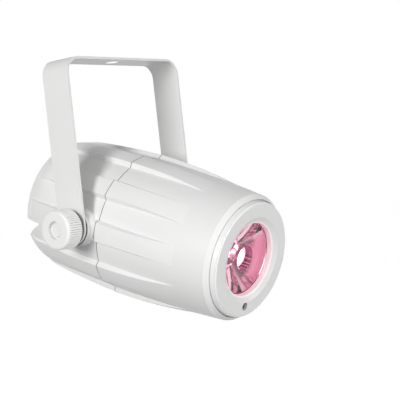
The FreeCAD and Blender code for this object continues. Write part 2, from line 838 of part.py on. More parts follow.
def power_inlet():
    """Mains appliance inlet: six-sided mouth with three flat pins."""
    flange = rounded_plate(inlet_flange_width, inlet_flange_height, inlet_flange_thickness, data_flange_corner,
                           V(panel_station - inlet_flange_thickness * 0.5, 0, inlet_level))
    body = block(inlet_body_length, inlet_body_width, inlet_body_height,
                 V(panel_station + inlet_body_length * 0.5, 0, inlet_level))
    half_width = inlet_mouth_width * 0.5
    low = inlet_level - inlet_mouth_height * 0.5
    high = inlet_level + inlet_mouth_height * 0.5
    cut = inlet_corner_cut
    mouth = panel_station - inlet_flange_thickness
    cavity = prism([(-half_width, low), (half_width, low), (half_width, high - cut), (half_width - cut, high),
                    (-half_width + cut, high), (-half_width, high - cut)],
                   inlet_mouth_depth + overrun, mouth - overrun)
    floor = mouth + inlet_mouth_depth
    pieces = [fuse_all([flange, body]).cut(cavity)]
    for y, rise in ((-inlet_pin_spacing, 0.0), (0.0, inlet_earth_rise), (inlet_pin_spacing, 0.0)):
        pieces.append(block(inlet_pin_length + overrun, inlet_pin_width, inlet_pin_height,
                            V(floor - (inlet_pin_length - overrun) * 0.5, y, inlet_level + rise - inlet_pin_width)))
    return fuse_all(pieces)


def fuse_holder():
    start = panel_station
    body = rod(fuse_body_radius, fuse_body_length, V(start, fuse_side, fuse_level))
    flange = rod(fuse_flange_radius, fuse_flange_thickness,
                 V(start - fuse_flange_thickness, fuse_side, fuse_level))
    bore = rod(fuse_plug_radius + running_clearance, fuse_plug_length + moving_clearance + fuse_flange_thickness,
               V(start - fuse_flange_thickness, fuse_side, fuse_level))
    return fuse_all([body, flange]).cut(bore)


def fuse_cap():
    """Cap that a screwdriver turns to free the fuse."""
    seat = panel_station - fuse_flange_thickness
    head = rod(fuse_cap_radius, fuse_cap_height, V(seat - fuse_cap_height, fuse_side, fuse_level))
    slot = block(fuse_slot_depth * 2.0, fuse_slot_width, fuse_cap_radius * 3.0,
                 V(seat - fuse_cap_height, fuse_side, fuse_level))
    plug = rod(fuse_plug_radius, fuse_plug_length, V(seat, fuse_side, fuse_level))
    return fuse_all([head.cut(slot), plug])


def screw(shank_radius, shank_length, head_radius, head_height, place):
    """Pan-head screw along the beam, its head to the rear and its seat at place."""
    shank = rod(shank_radius, shank_length, place)
    head = rod(head_radius, head_height, place - V(head_height, 0, 0))
    slot = block(head_height, shank_radius * 0.5, head_radius * 3.0, place - V(head_height, 0, 0))
    return fuse_all([shank, head]).cut(slot)


def panel_screws():
    one = screw(panel_screw_radius, panel_thickness + panel_screw_reach, panel_screw_head_radius,
                panel_screw_head_height, V(panel_station, panel_screw_ring_radius, 0))
    return Part.makeCompound([polar(one, angle) for angle in panel_screw_angles()])


def shell_screws():
    seat = seam_station - shell_screw_seat_depth
    one = screw(shell_screw_radius, shell_screw_seat_depth + shell_screw_reach, shell_screw_head_radius,
                shell_screw_head_length, V(seat, pillar_ring_radius, 0))
    return Part.makeCompound([polar(one, angle) for angle in pillar_angles])


def power_supply():
    """Power board with its transformer, smoothing capacitor and choke."""
    middle = supply_board_rear + supply_board_length * 0.5
    top = supply_board_level + supply_board_thickness
    board = block(supply_board_length, supply_board_half_width * 2.0, supply_board_thickness,
                  V(middle, 0, supply_board_level + supply_board_thickness * 0.5))
    transformer = block(transformer_length, transformer_width, transformer_height + overrun,
                        V(middle, 0, top + (transformer_height - overrun) * 0.5))
    side = supply_board_half_width - capacitor_inset
    capacitor = rod(capacitor_radius, capacitor_height + overrun, V(middle, side, top - overrun), Z_AXIS)
    coil = rod(coil_radius, coil_height + overrun, V(middle, -side, top - overrun), Z_AXIS)
    return fuse_all([board, transformer, capacitor, coil])


# Pivot hardware, drawn for the left side (+Y)

def thread_insert():
    length = insert_length
    start = V(0, boss_face - length, 0)
    body = rod(insert_radius, length, start, Y_AXIS)
    return body.cut(rod(stud_radius + running_clearance, length + overrun * 2.0, start - V(0, overrun, 0), Y_AXIS))


def friction_washer():
    start = V(0, boss_face, 0)
    ring = rod(friction_washer_radius, friction_washer_thickness, start, Y_AXIS)
    return ring.cut(rod(stud_radius + moving_clearance, friction_washer_thickness, start, Y_AXIS))


def clamp_washer():
    start = V(0, yoke_outer_half, 0)
    ring = rod(clamp_washer_radius, clamp_washer_thickness, start, Y_AXIS)
    return ring.cut(rod(stud_radius + moving_clearance, clamp_washer_thickness, start, Y_AXIS))


def knob_stud():
    """Threaded stud with the flat head that is moulded into the knob."""
    tip = boss_face - stud_engagement
    head_start = knob_back + stud_head_depth
    shank = rod(stud_radius, head_start - tip, V(0, tip, 0), Y_AXIS)
    head = rod(stud_head_radius, stud_head_thickness, V(0, head_start, 0), Y_AXIS)
    return fuse_all([shank, head])


def fluted_section(station, inset, depth):
    """Outline of the knob at one station: flat ridges with narrow grooves between them."""
    radius = knob_radius - inset
    pitch = 2.0 * math.pi / knob_flutes
    groove_half = math.radians(knob_flute_degrees) * 0.5
    points = []
    for index in range(knob_flutes):
        middle = pitch * index
        for angle, reach in ((middle - groove_half, radius), (middle, radius - depth), (middle + groove_half, radius)):
            points.append(V(reach * math.cos(angle), station, reach * math.sin(angle)))
    return Part.makePolygon(points + points[:1])


def knob():
    """Fluted grip with rounded edges, its hub behind, and the recess in its face."""
    quarter = 1.0 - math.sqrt(0.5)
    sections = [fluted_section(knob_back, knob_back_round, knob_flute_depth),
                fluted_section(knob_back + knob_back_round, 0.0, knob_flute_depth),
                fluted_section(knob_face - knob_face_round, 0.0, knob_flute_depth),
                fluted_section(knob_face - knob_face_round * quarter, knob_face_round * quarter,
                               knob_flute_depth * quarter),
                fluted_section(knob_face, knob_face_round, 0.0)]
    grip = Part.makeLoft(sections, True, True)
    hub = rod(knob_hub_radius, knob_hub_length + overrun, V(0, clamp_washer_face, 0), Y_AXIS)
    recess_floor = knob_face - knob_recess_depth
    recess = rod(knob_recess_radius, knob_recess_depth + overrun, V(0, recess_floor, 0), Y_AXIS)
    return grip.fuse(hub).cut(recess).cut(knob_stud())


def knob_cap():
    """Small round plug in the knob's recess, with a bevelled edge and a shallow dimple."""
    floor = knob_face - knob_recess_depth
    top = floor + knob_cap_thickness
    dimple = top - knob_cap_dimple_depth
    points = [V(0, floor, 0), V(knob_cap_radius, floor, 0), V(knob_cap_radius, top - knob_cap_bevel, 0),
              V(knob_cap_radius - knob_cap_bevel, top, 0), V(knob_cap_dimple_radius, top, 0),
              V(knob_cap_dimple_radius, dimple, 0), V(0, dimple, 0)]
    return revolve([line(a, b) for a, b in zip(points, points[1:] + points[:1])], Y_AXIS)


# Yoke

def yoke_bracket():
    """Flat bar bent twice, with round leg ends, the stud holes and the hanging hole."""
    outer = yoke_outer_half
    inner = yoke_inner_half
    inner_bend = bend_outer_radius - strip_thickness
    top = 0.0
    under = -strip_thickness
    foot = -pivot_drop - strip_width * 0.5
    bend_level = -bend_outer_radius
    bend_side = outer - bend_outer_radius
    diagonal = math.sqrt(0.5)

    def corner_arc(side, radius):
        start = V(0, side * (bend_side + radius), bend_level)
        middle = V(0, side * (bend_side + radius * diagonal), bend_level + radius * diagonal)
        end = V(0, side * bend_side, bend_level + radius)
        return Part.Arc(start, middle, end).toShape()

    edges = [line(V(0, -outer, foot), V(0, -outer, bend_level)), corner_arc(-1, bend_outer_radius),
             line(V(0, -bend_side, top), V(0, bend_side, top)), corner_arc(1, bend_outer_radius),
             line(V(0, outer, bend_level), V(0, outer, foot)), line(V(0, outer, foot), V(0, inner, foot)),
             line(V(0, inner, foot), V(0, inner, bend_level)), corner_arc(1, inner_bend),
             line(V(0, bend_side, under), V(0, -bend_side, under)), corner_arc(-1, inner_bend),
             line(V(0, -inner, bend_level), V(0, -inner, foot)), line(V(0, -inner, foot), V(0, -outer, foot))]
    face = Part.Face(Part.Wire(Part.__sortEdges__(edges)))
    bar = face.extrude(V(strip_width, 0, 0))
    bar.translate(V(-strip_width * 0.5, 0, 0))
    round_end = rod(strip_width * 0.5, outer * 2.0, V(0, -outer, -pivot_drop), Y_AXIS)
    upper = block(strip_width, outer * 2.0, pivot_drop, V(0, 0, -pivot_drop * 0.5))
    bar = bar.common(round_end.fuse(upper))
    stud_hole = rod(stud_radius + stud_hole_clearance, outer * 2.0 + overrun * 2.0,
                    V(0, -outer - overrun, -pivot_drop), Y_AXIS)
    hanging_hole = rod(hanging_hole_radius, strip_thickness + overrun * 2.0, V(0, 0, under - overrun), Z_AXIS)
    return bar.cut(stud_hole).cut(hanging_hole)


HEAD_PIECES = {
    "rear_shell": rear_shell,
    "front_shell": front_shell,
    "face_plate": face_plate,
    "collimator_lens": lens,
    "lens_holder": lens_holder,
    "lens_seal": lens_seal,
    "led_board": led_board,
    "led_emitter": led_emitter,
    "heat_sink": heat_sink,
    "infrared_receiver": sensor_receiver,
    "rear_panel": rear_panel,
    "display_window": display_window,
    "display_module": display_module,
    "control_board": control_board,
    "button_switches": button_switches,
    "data_input_socket": data_input,
    "data_output_socket": data_output,
    "power_inlet_socket": power_inlet,
    "fuse_holder": fuse_holder,
    "fuse_cap": fuse_cap,
    "panel_screws": panel_screws,
    "shell_screws": shell_screws,
    "power_supply": power_supply,
}

SIDE_PIECES = {
    "thread_insert": thread_insert,
    "friction_washer": friction_washer,
    "clamp_washer": clamp_washer,
    "knob_stud": knob_stud,
    "knob": knob,
    "knob_cap": knob_cap,
}

BUTTON_NAMES = ("menu_button", "down_button", "up_button", "enter_button")


def export_head_piece(name, shape):
    """Pitch a piece of the head down about the tilt axis and write it."""
    turn = FreeCAD.Placement(V(0, 0, -pivot_drop), FreeCAD.Rotation(Y_AXIS, head_pitch_degrees))
    placed = shape.copy()
    placed.Placement = turn.multiply(placed.Placement)
    placed.exportStep("parts/" + name + ".step")


def main():
    os.makedirs("parts", exist_ok=True)
    yoke_bracket().exportStep("parts/yoke_bracket.step")
    for name, make in HEAD_PIECES.items():
        export_head_piece(name, make())
    for name, place in zip(BUTTON_NAMES, button_places()):
        export_head_piece(name, button(place))
    for name, make in SIDE_PIECES.items():
        piece = make()
        export_head_piece("left_" + name, piece)
        export_head_piece("right_" + name, mirrored(piece))


main()
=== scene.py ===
# %% [markdown]
# An LED pin spotlight hangs from a bent steel yoke. The solids come from the construction
# files as a fixed frame. This lesson gives them their finishes, adds the fine pieces that
# the solids leave plain, and lights them as for a catalogue picture.

# %% Load the frame
import bpy
import json
import math
from mathutils import Matrix, Vector


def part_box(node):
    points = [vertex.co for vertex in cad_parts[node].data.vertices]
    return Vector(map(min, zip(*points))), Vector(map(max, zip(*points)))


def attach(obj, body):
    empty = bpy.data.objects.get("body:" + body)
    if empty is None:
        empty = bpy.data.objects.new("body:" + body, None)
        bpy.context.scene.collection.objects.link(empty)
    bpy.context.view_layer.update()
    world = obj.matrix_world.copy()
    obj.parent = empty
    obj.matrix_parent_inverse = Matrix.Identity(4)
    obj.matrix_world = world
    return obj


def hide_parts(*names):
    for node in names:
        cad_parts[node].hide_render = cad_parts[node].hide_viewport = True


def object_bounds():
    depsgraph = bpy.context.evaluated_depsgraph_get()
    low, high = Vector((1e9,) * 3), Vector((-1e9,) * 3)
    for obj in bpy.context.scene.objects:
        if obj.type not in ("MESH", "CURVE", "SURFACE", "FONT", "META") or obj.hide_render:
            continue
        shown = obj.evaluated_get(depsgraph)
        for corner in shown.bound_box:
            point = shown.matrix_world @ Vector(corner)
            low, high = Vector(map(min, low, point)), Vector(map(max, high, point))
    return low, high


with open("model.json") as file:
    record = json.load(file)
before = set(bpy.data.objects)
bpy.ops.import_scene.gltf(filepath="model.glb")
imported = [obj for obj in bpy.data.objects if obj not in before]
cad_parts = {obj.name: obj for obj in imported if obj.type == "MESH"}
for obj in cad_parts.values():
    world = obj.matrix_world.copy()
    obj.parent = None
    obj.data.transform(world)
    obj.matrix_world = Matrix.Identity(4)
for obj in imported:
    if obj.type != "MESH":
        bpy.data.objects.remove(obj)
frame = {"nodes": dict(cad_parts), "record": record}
nodes = frame["nodes"]
cad_low, cad_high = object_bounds()

# %% [markdown]
# The head is pitched down about the tilt axis. Its pieces could be placed straight in the
# room's axes, but then every number would hide the pitch. They are made in the head's own
# directions instead: along the beam, to the light's left, and up out of the barrel. One
# matrix turns a finished piece into its place in the room. Sizes are in millimetres, as on
# a drawing, and one value turns them into metres.

# %% The head's own directions
mm = 0.001
head_pitch = math.radians(18.0)
pivot = Vector((0.0, 0.0, -0.137))
head_to_room = Matrix.Translation(pivot) @ Matrix.Rotation(head_pitch, 4, "Y")
print("tilt axis", round(-pivot.z / mm, 1), "mm below the hanging hole")

# %% [markdown]
# The camera stands level with the head, about a metre away, off to the light's right. It
# could be moved by hand until the view looks alike. Its place, turn and focal length were
# worked out from the ellipses and edges in the picture instead, so that every edge falls
# where it should. A long lens keeps the yoke's legs nearly parallel.

# %% Camera
scene = bpy.context.scene
camera_turns = (89.2506, 6.2484, 38.0233)
camera_data = bpy.data.cameras.new("catalogue_camera")
camera_data.lens = 98.65
camera_data.sensor_width = 36.0
camera = bpy.data.objects.new("catalogue_camera", camera_data)
scene.collection.objects.link(camera)
camera.location = (0.62492, -0.69719, -0.11432)
camera.rotation_euler = [math.radians(turn) for turn in camera_turns]
scene.camera = camera
print("focal length", round(camera_data.lens, 2), "mm")

# %% [markdown]
# The light is white on white, so only light and shade draw its edges. A bright sky would be
# the simple way, but it lights every side alike, and the edges are lost. Here the sky gives
# a weak fill. It is white only to the camera, to reflections and through the lens, where it
# brightens no matt surface. Which rays those are is a small sum in nodes, and one helper
# writes each step of such a sum.

# %% World
fill_strength = 0.165
seen_strength = 1.0
scene.view_settings.view_transform = "Standard"
world = bpy.data.worlds.new("studio")
scene.world = world
world.use_nodes = True
sky = world.node_tree
sky.nodes.clear()


def combine(tree, kind, first, second=0.0):
    """One or two values through one Math node; either may be a plain number."""
    node = tree.nodes.new("ShaderNodeMath")
    node.operation = kind
    for socket, value in zip(node.inputs, (first, second)):
        if isinstance(value, (int, float)):
            socket.default_value = value
        else:
            tree.links.new(value, socket)
    return node.outputs[0]


def seen_directly(tree):
    """1 for rays from the camera, a reflection or a lens, and 0 for rays that carry light."""
    rays = tree.nodes.new("ShaderNodeLightPath").outputs
    first = combine(tree, "MAXIMUM", rays["Is Camera Ray"], rays["Is Glossy Ray"])
    return combine(tree, "MAXIMUM", first, rays["Is Transmission Ray"])


sky_out = sky.nodes.new("ShaderNodeOutputWorld")
sky_mix = sky.nodes.new("ShaderNodeMixShader")
sky.links.new(seen_directly(sky), sky_mix.inputs[0])
for place, strength in enumerate((fill_strength, seen_strength), 1):
    background = sky.nodes.new("ShaderNodeBackground")
    background.inputs["Color"].default_value = (1.0, 1.0, 1.0, 1.0)
    background.inputs["Strength"].default_value = strength
    sky.links.new(background.outputs[0], sky_mix.inputs[place])
sky.links.new(sky_mix.outputs[0], sky_out.inputs["Surface"])
print("world nodes:", len(sky.nodes))

# %% [markdown]
# Lamps give the light its direction. A sun lamp would be simpler, but its shadows are hard,
# and large square lamps give the soft shadows of the picture. All face the tilt axis. The
# key lamp stands at the light's right and throws the yoke's shadow on the barrel. The front
# lamp shapes the face plate, two weak ones open the front edge and the far leg, and the
# rear lamp is for the views from behind. No lamp shows through the lens, where it would be
# a hard white streak.

# %% Lamps
lamp_rows = (
    # name, place and side of the square in metres, watts
    ("key_lamp", (0.25, -1.8, 0.25), 0.5, 21.1),
    ("front_lamp", (1.7, -0.3, -0.28), 0.6, 11.4),
    ("right_lamp", (0.9, -1.6, 0.1), 0.6, 2.0),
    ("far_lamp", (1.5, 0.9, 0.1), 0.6, 4.3),
    ("rear_lamp", (-1.9, 0.9, 0.2), 0.8, 13.0),
)
for name, place, side, watts in lamp_rows:
    lamp_data = bpy.data.lights.new(name, "AREA")
    lamp_data.shape = "SQUARE"
    lamp_data.size = side
    lamp_data.energy = watts
    lamp = bpy.data.objects.new(name, lamp_data)
    scene.collection.objects.link(lamp)
    lamp.location = place
    lamp.rotation_euler = (pivot - Vector(place)).to_track_quat("-Z", "Y").to_euler()
    lamp.visible_transmission = False
print("lamps:", len(lamp_rows))

# %% [markdown]
# The light hangs, so the floor lies some way below it. It is matt and takes the object's
# soft shadow. A white floor would throw much light up at the barrel, so this one is a mid
# grey and adds a nearly white glow for the camera, for reflections and through the lens.
# So it meets the background without an edge and keeps the underside in shade.

# %% Floor
floor_drop = 0.45
floor_size = 30.0
floor_grey = 0.27
floor_shine = 0.95
bpy.ops.object.select_all(action="DESELECT")
bpy.ops.mesh.primitive_plane_add(size=floor_size, location=(0.0, 0.0, cad_low.z - floor_drop))
floor = bpy.context.object
floor.name = "floor"
floor_paint = bpy.data.materials.new("floor_paint")
floor_paint.use_nodes = True
floor_tree = floor_paint.node_tree
floor_tree.nodes.clear()
floor_out = floor_tree.nodes.new("ShaderNodeOutputMaterial")
floor_add = floor_tree.nodes.new("ShaderNodeAddShader")
floor_matt = floor_tree.nodes.new("ShaderNodeBsdfDiffuse")
floor_matt.inputs["Color"].default_value = (floor_grey, floor_grey, floor_grey, 1.0)
floor_glow = floor_tree.nodes.new("ShaderNodeEmission")
glow_level = combine(floor_tree, "MULTIPLY", seen_directly(floor_tree), floor_shine)
floor_tree.links.new(glow_level, floor_glow.inputs["Strength"])
floor_tree.links.new(floor_matt.outputs[0], floor_add.inputs[0])
floor_tree.links.new(floor_glow.outputs[0], floor_add.inputs[1])
floor_tree.links.new(floor_add.outputs[0], floor_out.inputs["Surface"])
floor.data.materials.append(floor_paint)
print("floor at", round(floor.location.z, 3), "m")

# %% [markdown]
# Paint, moulded plastic and metal share one effect: a fine grain that dulls the shine in
# places, and a very slight change of tone. It could be built anew in each finish, but one
# node group keeps it alike in all of them. The group gives a colour, a roughness and a
# height; the shader itself stays in each finish.

# %% Shared grain
def new_socket(group, name, kind, way, value=None):
    """One named input or output on a node group."""
    made = group.interface.new_socket(name=name, in_out=way, socket_type=kind)
    if value is not None:
        made.default_value = value


grain = bpy.data.node_groups.new("surface_grain", "ShaderNodeTree")
new_socket(grain, "Colour", "NodeSocketColor", "INPUT", (0.8, 0.8, 0.8, 1.0))
new_socket(grain, "Second colour", "NodeSocketColor", "INPUT", (0.7, 0.7, 0.7, 1.0))
new_socket(grain, "Patch scale", "NodeSocketFloat", "INPUT", 40.0)
new_socket(grain, "Grain scale", "NodeSocketFloat", "INPUT", 2500.0)
new_socket(grain, "Roughness low", "NodeSocketFloat", "INPUT", 0.3)
new_socket(grain, "Roughness high", "NodeSocketFloat", "INPUT", 0.45)
new_socket(grain, "Colour", "NodeSocketColor", "OUTPUT")
new_socket(grain, "Roughness", "NodeSocketFloat", "OUTPUT")
new_socket(grain, "Height", "NodeSocketFloat", "OUTPUT")
g_in = grain.nodes.new("NodeGroupInput")
g_out = grain.nodes.new("NodeGroupOutput")
g_place = grain.nodes.new("ShaderNodeTexCoord")
g_patch = grain.nodes.new("ShaderNodeTexNoise")
g_patch.inputs["Detail"].default_value = 3.0
g_fine = grain.nodes.new("ShaderNodeTexNoise")
g_fine.inputs["Detail"].default_value = 2.0
g_mix = grain.nodes.new("ShaderNodeMix")
g_mix.data_type = "RGBA"
g_rough = grain.nodes.new("ShaderNodeMapRange")
for start, end in (
    (g_place.outputs["Object"], g_patch.inputs["Vector"]),
    (g_place.outputs["Object"], g_fine.inputs["Vector"]),
    (g_in.outputs["Patch scale"], g_patch.inputs["Scale"]),
    (g_in.outputs["Grain scale"], g_fine.inputs["Scale"]),
    (g_patch.outputs["Fac"], g_mix.inputs["Factor"]),
    (g_in.outputs["Colour"], g_mix.inputs["A"]),
    (g_in.outputs["Second colour"], g_mix.inputs["B"]),
    (g_fine.outputs["Fac"], g_rough.inputs["Value"]),
    (g_in.outputs["Roughness low"], g_rough.inputs["To Min"]),
    (g_in.outputs["Roughness high"], g_rough.inputs["To Max"]),
    (g_mix.outputs["Result"], g_out.inputs["Colour"]),
    (g_rough.outputs["Result"], g_out.inputs["Roughness"]),
    (g_fine.outputs["Fac"], g_out.inputs["Height"]),
):
    grain.links.new(start, end)
print("grain nodes:", len(grain.nodes))

# %% [markdown]
# A finish is one shader and one copy of the grain, with its own two tones, scales, range of
# roughness and height. Each could be typed out on its own, but one helper and a table show
# at a glance how they differ. The height is a few hundredths of a millimetre on sprayed
# paint and none on glossy plastic, and metals take their full metallic value.

# %% Finishes of the solids
finishes = {}


def grained(name, colour, second, patch, fine, rough, height, metallic=0.0):
    """A finish made of the shared grain, with its own colours, scales, shine and height in mm."""
    made = bpy.data.materials.new(name)
    made.use_nodes = True
    tree = made.node_tree
    shader = tree.nodes["Principled BSDF"]
    group = tree.nodes.new("ShaderNodeGroup")
    group.node_tree = grain
    group.inputs["Colour"].default_value = (*colour, 1.0)
    group.inputs["Second colour"].default_value = (*second, 1.0)
    group.inputs["Patch scale"].default_value = patch
    group.inputs["Grain scale"].default_value = fine
    group.inputs["Roughness low"].default_value = rough[0]
    group.inputs["Roughness high"].default_value = rough[1]
    relief = tree.nodes.new("ShaderNodeBump")
    relief.inputs["Distance"].default_value = height * mm
    relief.inputs["Strength"].default_value = 1.0
    shader.inputs["Metallic"].default_value = metallic
    tree.links.new(group.outputs["Colour"], shader.inputs["Base Color"])
    tree.links.new(group.outputs["Roughness"], shader.inputs["Roughness"])
    tree.links.new(group.outputs["Height"], relief.inputs["Height"])
    tree.links.new(relief.outputs["Normal"], shader.inputs["Normal"])
    finishes[name] = made
    return made


finish_rows = (
    # name, colour, second colour, patch and grain scale, roughness, height in mm, metallic
    ("shell_white", (0.87, 0.87, 0.865), (0.85, 0.85, 0.845), 30, 2600, (0.3, 0.4), 0.01),
    ("plate_white", (0.88, 0.88, 0.875), (0.86, 0.86, 0.855), 30, 2600, (0.28, 0.38), 0.01),
    ("bracket_paint", (0.84, 0.84, 0.835), (0.82, 0.82, 0.815), 50, 900, (0.32, 0.45), 0.04),
    ("knob_white", (0.9, 0.9, 0.89), (0.87, 0.87, 0.86), 80, 3000, (0.4, 0.52), 0.02),
    ("seal_rubber", (0.03, 0.03, 0.03), (0.045, 0.045, 0.045), 200, 3000, (0.6, 0.75), 0.02),
    ("panel_black", (0.03, 0.03, 0.032), (0.045, 0.045, 0.045), 120, 2400, (0.45, 0.6), 0.04),
    ("socket_black", (0.022, 0.022, 0.024), (0.035, 0.035, 0.035), 150, 2200, (0.35, 0.5), 0.03),
    ("button_grey", (0.16, 0.16, 0.17), (0.2, 0.2, 0.2), 300, 3000, (0.4, 0.55), 0.02),
    ("circuit_green", (0.02, 0.13, 0.05), (0.03, 0.18, 0.07), 90, 1500, (0.25, 0.4), 0.02),
    # The board's and the holder's pink colours are painted light from the emitter on white parts.
    ("board_white", (0.3, 0.1, 0.12), (0.22, 0.06, 0.08), 90, 1500, (0.3, 0.45), 0.02),
    ("holder_white", (0.3, 0.07, 0.13), (0.24, 0.05, 0.1), 90, 1500, (0.3, 0.45), 0.02),
    ("sink_aluminium", (0.6, 0.61, 0.63), (0.52, 0.53, 0.55), 60, 1800, (0.3, 0.45), 0.03, 1.0),
    ("screw_steel", (0.4, 0.4, 0.41), (0.33, 0.33, 0.34), 400, 3500, (0.25, 0.4), 0.02, 1.0),
    ("insert_brass", (0.7, 0.5, 0.2), (0.6, 0.42, 0.16), 400, 3500, (0.25, 0.4), 0.02, 1.0),
    ("display_dark", (0.012, 0.004, 0.004), (0.016, 0.005, 0.005), 60, 400, (0.05, 0.09), 0.0),
    ("receiver_black", (0.02, 0.008, 0.01), (0.03, 0.01, 0.014), 100, 2000, (0.1, 0.2), 0.0),
    # The lens's pink tint is painted light from the emitter; the acrylic itself is clear.
    ("clear_lens", (0.97, 0.62, 0.74), (0.96, 0.6, 0.72), 60, 400, (0.02, 0.04), 0.0),
    ("led_dome", (0.95, 0.9, 0.7), (0.9, 0.85, 0.6), 400, 2000, (0.1, 0.2), 0.0),
    # The seal's pink colour is painted light from the emitter; the silicone itself is clear.
    ("seal_silicone", (0.4, 0.12, 0.18), (0.3, 0.08, 0.12), 200, 3000, (0.4, 0.5), 0.02),
)
for row in finish_rows:
    grained(*row)
print("finishes:", len(finishes))

# %% [markdown]
# The lens is clear acrylic. A thin glossy skin would look clear too, but only a material that
# lets light through and bends it shows the cup and the emitter where the real lens shows them.
# Its pink tint is painted light: the real acrylic is clear, and the pink is the emitter's light.

# %% Clear acrylic of the lens
acrylic_index = 1.49
lens_shader = finishes["clear_lens"].node_tree.nodes["Principled BSDF"]
lens_shader.inputs["Transmission Weight"].default_value = 1.0
lens_shader.inputs["IOR"].default_value = acrylic_index
print("the lens bends light by", acrylic_index)

# %% [markdown]
# Some effects follow an axis of the light: the pink glow on the face plate fades outwards
# from the lens, and the rays in the cup run around the beam. They could be painted on an
# unwrapped surface, but then the seams of the unwrapping would cut the rays. A sum over the
# place itself has no seams. It gives millimetres out from an axis, and for the beam a
# second node group also gives millimetres along it and the angle around it.

# %% Places around the beam
def place_parts(tree, centre, pitch=0.0):
    """The place on the object from a centre, in mm, turned about Y, as three values."""
    place = tree.nodes.new("ShaderNodeTexCoord")
    shift = tree.nodes.new("ShaderNodeVectorMath")
    shift.operation = "SUBTRACT"
    shift.inputs[1].default_value = centre
    turn = tree.nodes.new("ShaderNodeVectorRotate")
    turn.rotation_type = "Y_AXIS"
    turn.inputs["Angle"].default_value = pitch
    scale = tree.nodes.new("ShaderNodeVectorMath")
    scale.operation = "SCALE"
    scale.inputs["Scale"].default_value = 1.0 / mm
    parts = tree.nodes.new("ShaderNodeSeparateXYZ")
    tree.links.new(place.outputs["Object"], shift.inputs[0])
    tree.links.new(shift.outputs[0], turn.inputs["Vector"])
    tree.links.new(turn.outputs[0], scale.inputs[0])
    tree.links.new(scale.outputs[0], parts.inputs[0])
    return parts.outputs


def length_of(tree, parts, letters):
    """How far out a place lies by two of its three values."""
    flat = tree.nodes.new("ShaderNodeCombineXYZ")
    length = tree.nodes.new("ShaderNodeVectorMath")
    length.operation = "LENGTH"
    for letter in letters:
        tree.links.new(parts[letter], flat.inputs[letter])
    tree.links.new(flat.outputs[0], length.inputs[0])
    return length.outputs["Value"]


beam = bpy.data.node_groups.new("beam_place", "ShaderNodeTree")
beam_out = beam.nodes.new("NodeGroupOutput")
beam_parts = place_parts(beam, pivot, -head_pitch)
for name, value in (
    ("Along", beam_parts["X"]),
    ("Out", length_of(beam, beam_parts, "YZ")),
    ("Angle", combine(beam, "ARCTAN2", beam_parts["Z"], beam_parts["Y"])),
):
    new_socket(beam, name, "NodeSocketFloat", "OUTPUT")
    beam.links.new(value, beam_out.inputs[name])


def beam_group(tree):
    """The three values of the beam's place group, put into one finish."""
    group = tree.nodes.new("ShaderNodeGroup")
    group.node_tree = beam
    return group.outputs


print("beam nodes:", len(beam.nodes))

# %% [markdown]
# The lit lens is what the eye goes to. The emitter shines pink into a clear cone, and the cup
# behind the cone takes that colour. A real lamp inside would need very many rays to come out
# clean. So the cup's pink colour and its glow are painted light, the emitter glows in its own
# finish, and the cone bends what shows of them. Four helpers set a glow, or change a glow or a
# colour over a share of the surface.

# %% Helpers for glows and tones
def glow(made, colour, strength, level=None):
    """Let a finish give light of one colour, at one strength or by a level over the surface."""
    tree = made.node_tree
    shader = tree.nodes["Principled BSDF"]
    shader.inputs["Emission Strength"].default_value = strength
    if level is None:
        shader.inputs["Emission Color"].default_value = (*colour, 1.0)
        return
    mix = tree.nodes.new("ShaderNodeMix")
    mix.data_type = "RGBA"
    mix.inputs["A"].default_value = (0.0, 0.0, 0.0, 1.0)
    mix.inputs["B"].default_value = (*colour, 1.0)
    tree.links.new(level, mix.inputs["Factor"])
    tree.links.new(mix.outputs["Result"], shader.inputs["Emission Color"])


def change_colour(made, socket, kind, colour, share):
    """Blend one more colour into a linked colour of a finish, by a share over the surface."""
    tree = made.node_tree
    target = tree.nodes["Principled BSDF"].inputs[socket]
    before = target.links[0].from_socket
    mix = tree.nodes.new("ShaderNodeMix")
    mix.data_type = "RGBA"
    mix.blend_type = kind
    mix.inputs["B"].default_value = (*colour, 1.0)
    tree.links.new(share, mix.inputs["Factor"])
    tree.links.new(before, mix.inputs["A"])
    tree.links.new(mix.outputs["Result"], target)


def blend_glow(made, colour, share):
    """Bring a finish's glow towards another colour."""
    change_colour(made, "Emission Color", "MIX", colour, share)


def change_tone(made, tone, share):
    """Multiply a finish's colour by a tone: below 1 it darkens, above 1 it lightens."""
    change_colour(made, "Base Color", "MULTIPLY", (tone, tone, tone), share)


# %% [markdown]
# Inside a lit lens the cup shows fine rays and patches. They could be cut as facets, but
# in the picture they look like reflections in the cone, with no edges of their own. So a
# noise draws them by the angle around the beam. Three helpers give shares between 0 and 1:
# a fade between two limits, the rays, and the places above and below the beam.

# %% Helpers for rays and patches
def fade(tree, value, start, end, low=0.0, high=1.0):
    """A value that runs from low at start to high at end and stays there."""
    ramp = tree.nodes.new("ShaderNodeMapRange")
    ramp.inputs["From Min"].default_value = start
    ramp.inputs["From Max"].default_value = end
    ramp.inputs["To Min"].default_value = low
    ramp.inputs["To Max"].default_value = high
    tree.links.new(value, ramp.inputs["Value"])
    return ramp.outputs["Result"]


def streaks(tree, place, count, slide, low, high):
    """Rays around the beam: a noise by the angle that changes slowly along the beam."""
    spot = tree.nodes.new("ShaderNodeCombineXYZ")
    tree.links.new(combine(tree, "MULTIPLY", place["Angle"], count), spot.inputs["X"])
    tree.links.new(combine(tree, "MULTIPLY", place["Along"], slide), spot.inputs["Y"])
    noise = tree.nodes.new("ShaderNodeTexNoise")
    noise.noise_dimensions = "2D"
    noise.inputs["Scale"].default_value = 1.0
    noise.inputs["Detail"].default_value = 3.0
    tree.links.new(spot.outputs[0], noise.inputs["Vector"])
    return fade(tree, noise.outputs["Fac"], low, high)


